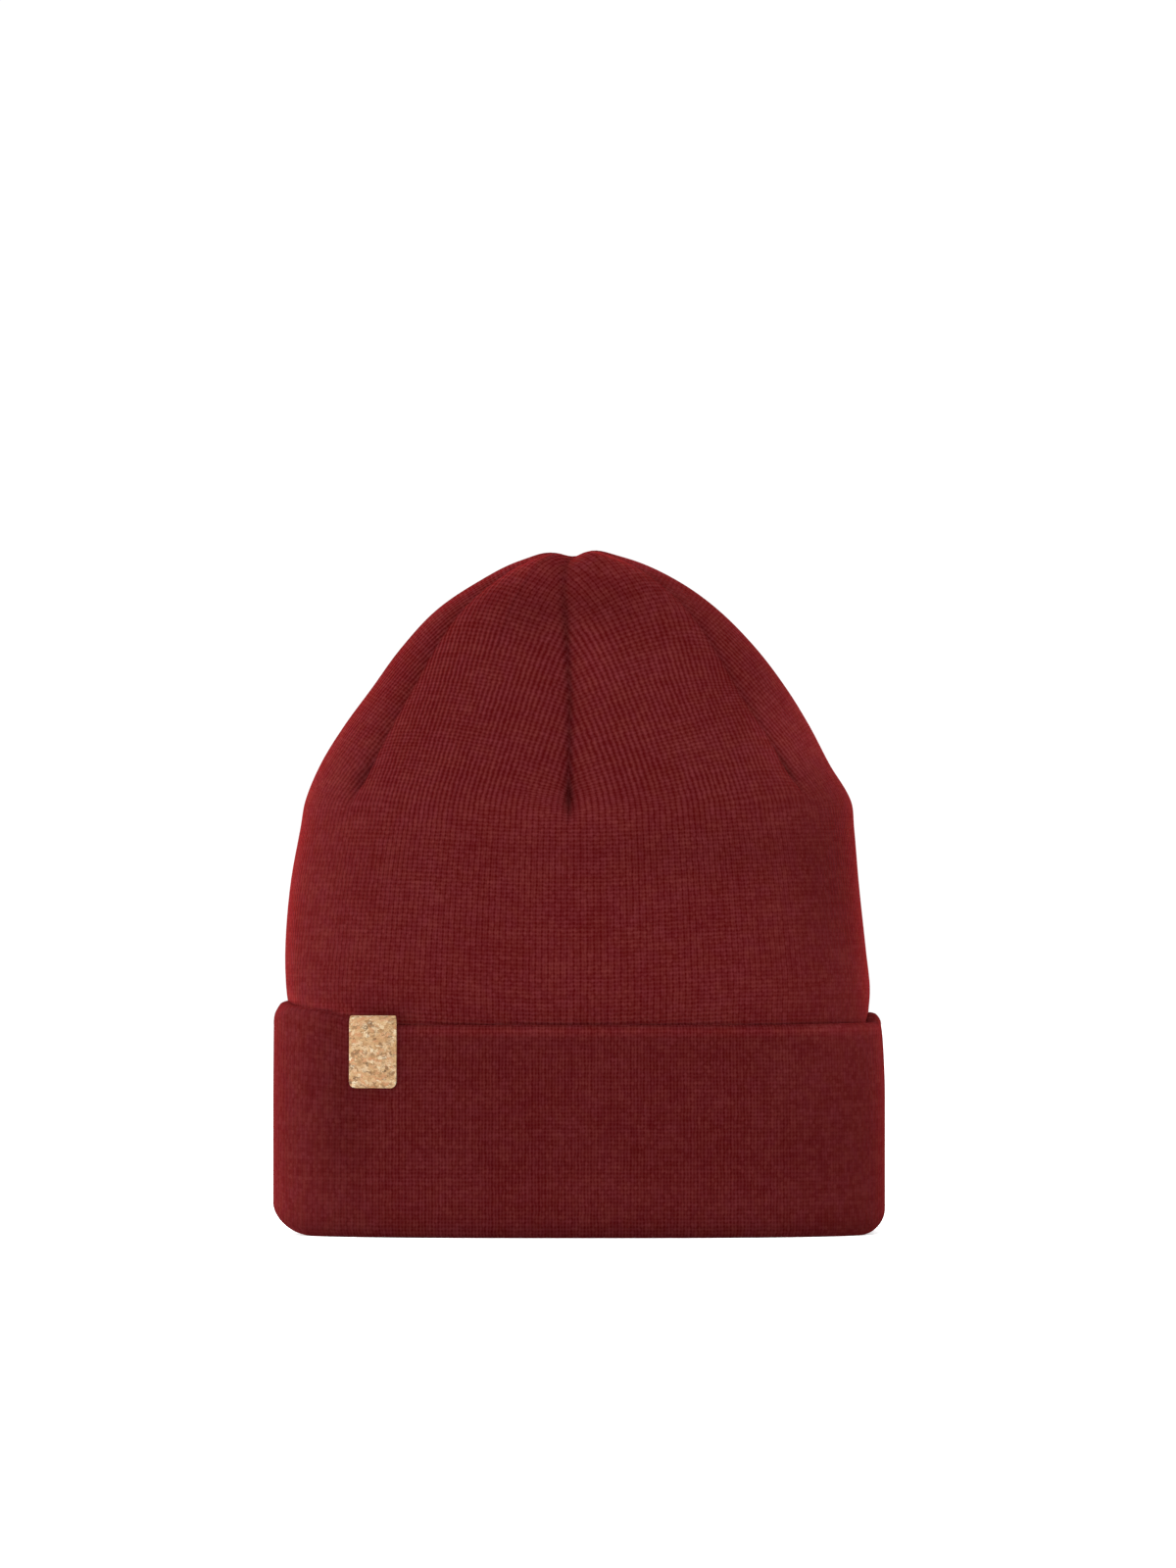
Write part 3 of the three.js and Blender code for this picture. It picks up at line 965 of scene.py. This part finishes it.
class Shader:
    """A material's nodes, made with short calls that give output sockets."""

    def __init__(self, name):
        self.material = bpy.data.materials.new(name)
        self.material.use_nodes = True
        self.tree = self.material.node_tree
        self.surface = self.tree.nodes["Principled BSDF"]

    def node(self, kind, inputs=None, **settings):
        made = self.tree.nodes.new(kind)
        for key, value in settings.items():
            setattr(made, key, value)
        for key, value in (inputs or {}).items():
            self.feed(made.inputs[key], value)
        return made

    def feed(self, socket, value):
        if isinstance(value, bpy.types.NodeSocket):
            self.tree.links.new(value, socket)
        else:
            socket.default_value = value

    def math(self, operation, *values):
        made = self.node("ShaderNodeMath", operation=operation)
        for socket, value in zip(made.inputs, values):
            self.feed(socket, value)
        return made.outputs[0]

    def times(self, first, second):
        return self.math("MULTIPLY", first, second)

    def scaled(self, value, factor, plus):
        return self.math("MULTIPLY_ADD", value, factor, plus)

    def ramp(self, value, low, high, to_low=0.0, to_high=1.0):
        """Smooth step of a value between two limits."""
        inputs = {"Value": value, "From Min": low, "From Max": high, "To Min": to_low, "To Max": to_high}
        return self.node("ShaderNodeMapRange", inputs, interpolation_type="SMOOTHSTEP").outputs["Result"]

    def noise(self, vector, scale, detail=2.0, roughness=0.5, output="Fac"):
        inputs = {"Vector": vector, "Scale": scale, "Detail": detail, "Roughness": roughness}
        return self.node("ShaderNodeTexNoise", inputs).outputs[output]

    def mix(self, factor, first, second, blend="MIX"):
        made = self.node("ShaderNodeMix", data_type="RGBA", blend_type=blend)
        self.feed(made.inputs["Factor"], factor)
        self.feed(made.inputs[6], first)
        self.feed(made.inputs[7], second)
        return made.outputs[2]

    def set(self, **values):
        for key, value in values.items():
            self.feed(self.surface.inputs[key.replace("_", " ")], value)


# A stitch has two legs. Holes beside them, in the groove between wales and in a wale's middle, get a bump
# and painted shade.
# Each knit: how much holes show in a wale's middle and between rows, how far rows lean along a leg, the
# yarn's shade, and the weight and roughness of its sheen.
KNIT_LOOKS = {
    "crown_knit": {"middle": 0.40, "gap": 0.21, "slant": 0.14, "shade": 0.92, "fuzz": (0.36, 0.32)},
    "cuff_knit": {"middle": 0.72, "gap": 0.09, "slant": 0.08, "shade": 0.757, "fuzz": (0.16, 0.33)},
}
YARN_DARK = (0.0580, 0.0022, 0.0025)
YARN_LIGHT = (0.131, 0.0228, 0.0238)
YARN_CURVE = 1.45
COOL_TINT = (0.99, 0.95, 1.06, 1)
WARM_TINT = (1.01, 1.06, 0.95, 1)
SHEEN_TINT = (0.8, 0.035, 0.035, 1)
YARN_ROUGHNESS = (0.86, 0.97)

# Scales of the noises over the hat, and of the streaks along wales and courses.
WOBBLE_SCALE = 330.0
OPENING_SCALE = 420.0
PULL_SCALE = 75.0
BLOTCH_SCALE = 55.0
FIBRE_SCALE = 2600.0
HUE_SCALE = 190.0
ROW_STREAK = (0.07, 0.55, 1.0)
WALE_STREAK = (0.5, 0.05, 1.0)
SOFT_RANGE = (0.3, 0.7)
PULL_RANGE = (0.35, 0.65)

# How far stitches wander, in wales and courses.
WALE_WOBBLE = 0.35
COURSE_WOBBLE = 0.6

# Depth of the holes, of the lines between wales and of the gaps between rows. Ribs hide the holes, and
# pulled knit shows its lines more and its rows less.
HOLE_DEPTHS = (0.25, 0.65)
RIB_HIDES = -0.7
LINE_DEPTH = 0.26
RIB_DEPTH = 0.47
LINE_PULL = (0.6, 0.75)
ROW_PULL = (-0.7, 1.3)
RIB_GAP = 0.06
ROW_GAP_FROM = 0.1

# Towards the hat's sides the holes close: from where to where, in metres, how much, and the yarn's tone.
CLOSING = (0.05, 0.094)
CLOSING_MOST = 0.72
CLOSING_TONE = -0.16

# What the tone of the yarn is made of.
BASE_TONE = 0.65
# Painted shade in the knit's holes, lines and gaps.
HOLLOW_PAINTED_SHADE = -0.78
# Painted light on the gores, where the sloping top catches more light.
GORE_PAINTED_LIGHT = 0.095
STITCH_TONE = 0.26
BLOTCH_TONE = 0.24
FIBRE_TONE = 0.3
ROW_TONE = 0.3
WALE_TONE = 0.17
# How much a step of the shade attribute's painted shade or light darkens or lightens the yarn, and the
# darkest it gets.
SHADE_STEP = -0.31
DARKEST_SHADE = 0.2
FIBRE_RELIEF = -0.15
KNIT_BUMP = {"Strength": 0.4, "Distance": 0.35 * MM}


def stitch_place(shader, place, solid, slant):
    """The wale and stitch at a point, and how far across the wale and along the stitch it lies.

    Across a wale, 0 is the groove beside it and 1 its middle line.
    """
    straight = shader.node("ShaderNodeSeparateXYZ", {"Vector": place}).outputs
    wobble = shader.noise(solid, WOBBLE_SCALE, output="Color")
    shift = shader.node("ShaderNodeSeparateColor", {"Color": wobble}).outputs
    wale = shader.scaled(shift[0], WALE_WOBBLE, straight[0])
    course = shader.scaled(shift[1], COURSE_WOBBLE, straight[1])
    across = shader.times(shader.math("PINGPONG", wale, 0.5), 2.0)
    stitch = shader.scaled(across, slant, course)
    along = shader.times(shader.math("PINGPONG", stitch, 0.5), 2.0)
    return wale, stitch, across, along


def knit_depth(shader, solid, rib, across, along, look):
    """How deep the knit lies, for its bump and painted shade: holes beside legs, lines between wales, row
    gaps.
    """
    gap = shader.ramp(along, ROW_GAP_FROM, 1.0, 1.0, 0.0)
    flat = shader.math("SUBTRACT", 1.0, rib)
    groove = shader.ramp(across, 0.0, 0.5, 1.0, 0.0)
    middle = shader.times(shader.ramp(across, 0.5, 1.0, 0.0, look["middle"]), flat)
    beside = shader.math("ADD", groove, middle)
    openness = shader.ramp(shader.noise(solid, OPENING_SCALE), *SOFT_RANGE, *HOLE_DEPTHS)
    openness = shader.times(openness, shader.scaled(rib, RIB_HIDES, 1.0))
    holes = shader.times(shader.times(beside, gap), openness)
    pull = shader.ramp(shader.noise(solid, PULL_SCALE), *PULL_RANGE)
    slope = shader.times(shader.ramp(across, 0.0, 1.0, 1.0, 0.0), rib)
    lines = shader.scaled(shader.times(beside, flat), LINE_DEPTH, shader.times(slope, RIB_DEPTH))
    lines = shader.times(lines, shader.scaled(pull, *LINE_PULL))
    rows = shader.scaled(rib, RIB_GAP, look["gap"])
    rows = shader.times(rows, shader.scaled(pull, *ROW_PULL))
    return shader.scaled(gap, rows, shader.math("ADD", holes, lines))


def stitch_tone(shader, wale, stitch):
    """A shade for each leg of a stitch."""
    leg = shader.math("FLOOR", shader.times(wale, 2.0))
    cell = shader.node("ShaderNodeCombineXYZ", {"X": leg, "Y": shader.math("FLOOR", stitch)})
    single = shader.node("ShaderNodeTexWhiteNoise", {"Vector": cell.outputs[0]}, noise_dimensions="2D")
    return shader.scaled(single.outputs["Value"], STITCH_TONE, -STITCH_TONE / 2)


def streaks(shader, place, scale):
    stretched = shader.node("ShaderNodeMapping", {"Vector": place, "Scale": scale})
    return shader.noise(stretched.outputs[0], 1.0, 2.0, 0.6)


def yarn_colour(shader, solid, tone, shade, look):
    """From the dark to the light yarn by tone, with a slight change of hue, times the painted shade and
    light.
    """
    tone = shader.node("ShaderNodeClamp", {"Value": tone}).outputs[0]
    tone = shader.math("POWER", tone, YARN_CURVE)
    dark = tuple(look["shade"] * part for part in YARN_DARK)
    light = tuple(look["shade"] * part for part in YARN_LIGHT)
    colour = shader.mix(tone, (*dark, 1), (*light, 1))
    hue = shader.ramp(shader.noise(solid, HUE_SCALE), *SOFT_RANGE)
    colour = shader.mix(1.0, colour, shader.mix(hue, COOL_TINT, WARM_TINT), "MULTIPLY")
    level = shader.math("MAXIMUM", shader.scaled(shade, SHADE_STEP, 1.0), DARKEST_SHADE)
    return shader.mix(1.0, colour, level, "MULTIPLY")


def knit_material(name):
    shader = Shader(name)
    look = KNIT_LOOKS[name]
    place = shader.node("ShaderNodeUVMap", uv_map=MAP_KNIT).outputs[0]
    solid = shader.node("ShaderNodeTexCoord").outputs["Object"]
    rib = shader.node("ShaderNodeAttribute", attribute_name="rib").outputs["Fac"]
    # The shade attribute holds painted shade and painted light.
    shade = shader.node("ShaderNodeAttribute", attribute_name="shade").outputs["Fac"]
    wale, stitch, across, along = stitch_place(shader, place, solid, look["slant"])
    depth = knit_depth(shader, solid, rib, across, along, look)
    from_middle = shader.node("ShaderNodeSeparateXYZ", {"Vector": solid}).outputs[0]
    closing = shader.ramp(shader.math("ABSOLUTE", from_middle), *CLOSING, 0.0, CLOSING_MOST)
    depth = shader.times(depth, shader.math("SUBTRACT", 1.0, closing))
    blotch = shader.noise(solid, BLOTCH_SCALE, 3.0, 0.6)
    fibre = shader.noise(solid, FIBRE_SCALE, 2.0, 0.6)
    textures = [
        (blotch, BLOTCH_TONE),
        (fibre, FIBRE_TONE),
        (streaks(shader, place, ROW_STREAK), ROW_TONE),
        (streaks(shader, place, WALE_STREAK), WALE_TONE),
    ]
    tone = stitch_tone(shader, wale, stitch)
    for texture, amount in textures:
        tone = shader.scaled(shader.math("SUBTRACT", texture, 0.5), amount, tone)
    # Painted light on the gores.
    tone = shader.scaled(rib, GORE_PAINTED_LIGHT, tone)
    tone = shader.scaled(closing, CLOSING_TONE, tone)
    # Painted shade in the knit's hollows.
    tone = shader.math("ADD", tone, shader.scaled(depth, HOLLOW_PAINTED_SHADE, BASE_TONE))
    relief = shader.scaled(fibre, FIBRE_RELIEF, depth)
    bump = shader.node("ShaderNodeBump", {**KNIT_BUMP, "Height": relief}, invert=True)
    rough = shader.ramp(blotch, *SOFT_RANGE, *YARN_ROUGHNESS)
    colour = yarn_colour(shader, solid, tone, shade, look)
    shader.set(Base_Color=colour, Roughness=rough, Normal=bump.outputs[0])
    fuzz, fuzz_spread = look["fuzz"]
    shader.set(Specular_IOR_Level=0.0, Sheen_Weight=fuzz, Sheen_Roughness=fuzz_spread)
    shader.set(Sheen_Tint=SHEEN_TINT)
    return shader.material


# Cork: grains that lean across the tab, pale flakes, dark streaks and fine dust.
CORK_LEAN = (0.0, -0.65, 0.0)
CORK_STRETCH = (0.65, 1.0, 1.05)
CORK_BEND = (0.0018, 0.0018, 0.0018)
CORK_SHADES = [
    (0.0, (0.20, 0.10, 0.042)),
    (0.14, (0.37, 0.19, 0.075)),
    (0.35, (0.52, 0.29, 0.125)),
    (0.6, (0.60, 0.375, 0.18)),
    (0.78, (0.54, 0.24, 0.10)),
    (0.92, (0.68, 0.48, 0.27)),
    (1.0, (0.80, 0.64, 0.43)),
]
CORK_PALE = (0.80, 0.61, 0.38, 1)
CORK_DARK = (0.17, 0.105, 0.055, 1)
GRAIN_SCALE = 1050.0
BEND_SCALE = 900.0
STREAK_SCALE = 900.0
PALE_SCALE = 480.0
DUST_SCALE = 4200.0
STREAK_RANGE = (0.55, 0.66)
PALE_RANGE = (0.5, 0.66)
DUST_RANGE = (0.25, 0.75)
STREAK_SHARE = 0.7
PALE_SHARE = 0.6
CORK_LEVELS = (0.45, 0.715)
CORK_ROUGHNESS = (0.65, 0.85)
CORK_GLOSS = 0.3
PIT_DEPTH = -0.7
CORK_BUMP = {"Strength": 0.5, "Distance": 0.12 * MM}


def cork_material():
    shader = Shader("label_cork")
    solid = shader.node("ShaderNodeTexCoord").outputs["Object"]
    leaning = shader.node("ShaderNodeMapping", {
        "Vector": solid, "Rotation": CORK_LEAN, "Scale": CORK_STRETCH,
    })
    bend = shader.noise(solid, BEND_SCALE, output="Color")
    moves = {0: bend, 1: CORK_BEND, 2: leaning.outputs[0]}
    bent = shader.node("ShaderNodeVectorMath", moves, operation="MULTIPLY_ADD").outputs[0]
    grains = shader.node("ShaderNodeTexVoronoi", {"Vector": bent, "Scale": GRAIN_SCALE})
    grain = shader.node("ShaderNodeSeparateColor", {"Color": grains.outputs["Color"]})
    shades = shader.node("ShaderNodeValToRGB", {"Fac": grain.outputs[0]})
    set_stops(shades.color_ramp, CORK_SHADES)
    streak_noise = shader.noise(bent, STREAK_SCALE, 3.0, 0.65)
    streak = shader.ramp(streak_noise, *STREAK_RANGE)
    pale = shader.ramp(shader.noise(bent, PALE_SCALE, 3.0, 0.65), *PALE_RANGE)
    speck = shader.ramp(shader.noise(solid, DUST_SCALE), *DUST_RANGE, *CORK_LEVELS)
    colour = shader.mix(shader.times(pale, PALE_SHARE), shades.outputs[0], CORK_PALE)
    colour = shader.mix(shader.times(streak, STREAK_SHARE), colour, CORK_DARK)
    colour = shader.mix(1.0, colour, speck, "MULTIPLY")
    pit = shader.scaled(streak, PIT_DEPTH, grains.outputs["Distance"])
    bump = shader.node("ShaderNodeBump", {**CORK_BUMP, "Height": pit})
    rough = shader.ramp(streak_noise, *SOFT_RANGE, *CORK_ROUGHNESS)
    shader.set(Base_Color=colour, Roughness=rough, Normal=bump.outputs[0])
    shader.set(Specular_IOR_Level=CORK_GLOSS)
    return shader.material


def set_stops(colour_ramp, stops):
    while len(colour_ramp.elements) > 1:
        colour_ramp.elements.remove(colour_ramp.elements[-1])
    first_place, first_colour = stops[0]
    colour_ramp.elements[0].position = first_place
    colour_ramp.elements[0].color = (*first_colour, 1)
    for place, colour in stops[1:]:
        colour_ramp.elements.new(place).color = (*colour, 1)


# The stage, lights and camera.
FLOOR_HALF = 6.0
FLOOR_GLOW = 0.5
CAMERA_DISTANCE = 3000.0
CAMERA_HEIGHT = 100.0
AIM = (2.75, 0.0, 143.7)
MM_PER_PIXEL = 0.3143
IMAGE_HEIGHT = 1600
SENSOR = 36.0
WORLD_LIGHT = 1.05
CLIP_END = 50

# Area lights, in metres and watts: place, aim, size and power.
LIGHTS = {
    "left": ((-1.15, 0.22, 0.45), (0, 0, 0.11), (0.6, 1.2), 15.0),
    "right": ((0.7, 0.6, 1.3), (0, 0, 0.11), (0.8, 0.8), 3.8),
    "rim": ((-0.45, 1.2, 0.9), (0, 0, 0.14), (0.5, 0.5), 9.0),
    "top": ((0.0, -0.5, 1.6), (0, 0, 0.11), (1.0, 1.0), 14.0),
}


def make_floor():
    mesh = bpy.data.meshes.new("floor")
    corners = [(-1, -1), (1, -1), (1, 1), (-1, 1)]
    mesh.from_pydata([(x * FLOOR_HALF, y * FLOOR_HALF, 0) for x, y in corners], [], [(0, 1, 2, 3)])
    shader = Shader("floor_white")
    shader.set(Base_Color=(1.0, 1.0, 1.0, 1), Roughness=1.0, Specular_IOR_Level=0.0)
    shader.set(Emission_Color=(1.0, 1.0, 1.0, 1), Emission_Strength=FLOOR_GLOW)
    mesh.materials.append(shader.material)
    floor = add_object("floor", mesh)


def make_world():
    world = bpy.data.worlds.new("studio")
    world.use_nodes = True
    background = world.node_tree.nodes["Background"]
    background.inputs["Color"].default_value = (1, 1, 1, 1)
    background.inputs["Strength"].default_value = WORLD_LIGHT
    bpy.context.scene.world = world


def aim_object(item, place, aim):
    item.location = place
    item.rotation_euler = (aim - place).to_track_quat("-Z", "Y").to_euler()


def make_light(name, place, aim, size, power):
    data = bpy.data.lights.new(name, "AREA")
    data.shape = "RECTANGLE"
    data.size, data.size_y = size
    data.energy = power
    aim_object(add_object(name, data), Vector(place), Vector(aim))


def make_camera():
    data = bpy.data.cameras.new("camera")
    data.sensor_fit = "VERTICAL"
    data.sensor_height = SENSOR
    place = Vector((AIM[0], -CAMERA_DISTANCE, CAMERA_HEIGHT)) * MM
    aim = Vector(AIM) * MM
    data.lens = SENSOR * (aim - place).length / (MM_PER_PIXEL * IMAGE_HEIGHT * MM)
    data.clip_end = CLIP_END
    camera = add_object("camera", data)
    aim_object(camera, place, aim)
    bpy.context.scene.camera = camera


make_camera()
make_world()
make_floor()
for light_name, light_values in LIGHTS.items():
    make_light(light_name, *light_values)

pieces = {
    "crown": make_crown(knit_material("crown_knit")),
    "cuff": make_cuff(knit_material("cuff_knit")),
    "label": make_label(cork_material()),
}
for node, piece in pieces.items():
    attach(piece, BODY)
    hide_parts(node)

bpy.context.scene.view_settings.view_transform = "Standard"
